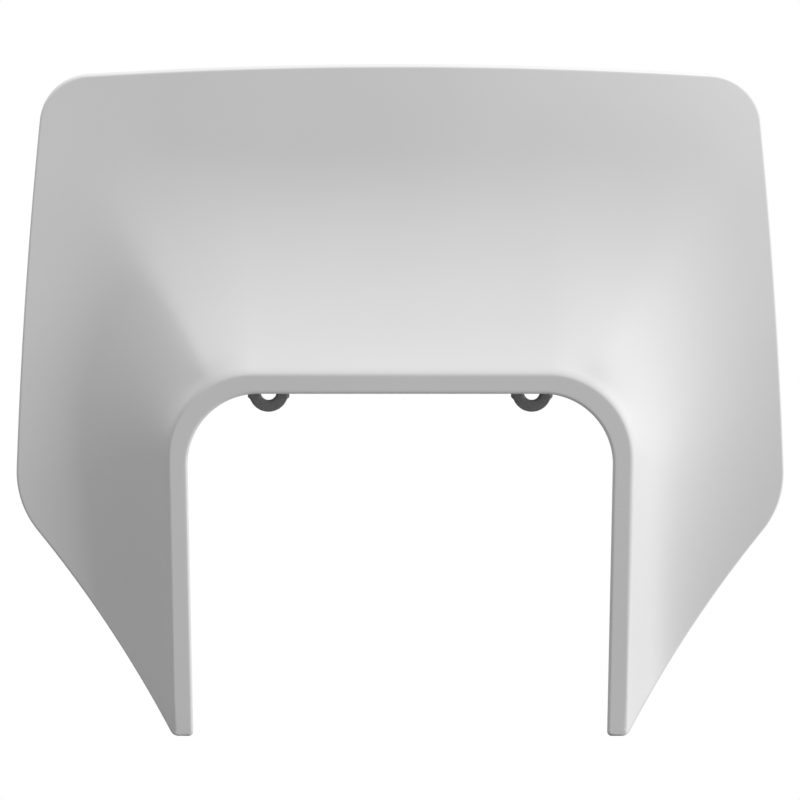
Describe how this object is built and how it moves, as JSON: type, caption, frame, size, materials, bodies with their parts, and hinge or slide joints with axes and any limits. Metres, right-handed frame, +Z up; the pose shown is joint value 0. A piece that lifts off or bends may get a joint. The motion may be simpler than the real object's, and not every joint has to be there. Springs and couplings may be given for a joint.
{
  "type": "headlight mask",
  "caption": "Shield-shaped motorbike headlight mask with a raised brow round an open-bottomed lamp opening, bolted on through rubber grommets.",
  "frame": {"origin": "halfway between the two grommet bores, on the plane of the grommets' rear faces", "axes": "+X across the mask, +Y to the rear, towards the motorbike, +Z up; the front faces -Y"},
  "size_m": [0.25, 0.0447, 0.219],
  "materials": {
    "shell_plastic": "satin white moulded polypropylene",
    "grommet_rubber": "matt dark grey moulded rubber"
  },
  "bodies": {
    "root": {"mask_shell": "shell_plastic", "left_grommet": "grommet_rubber", "right_grommet": "grommet_rubber"}
  },
  "joints": []
}
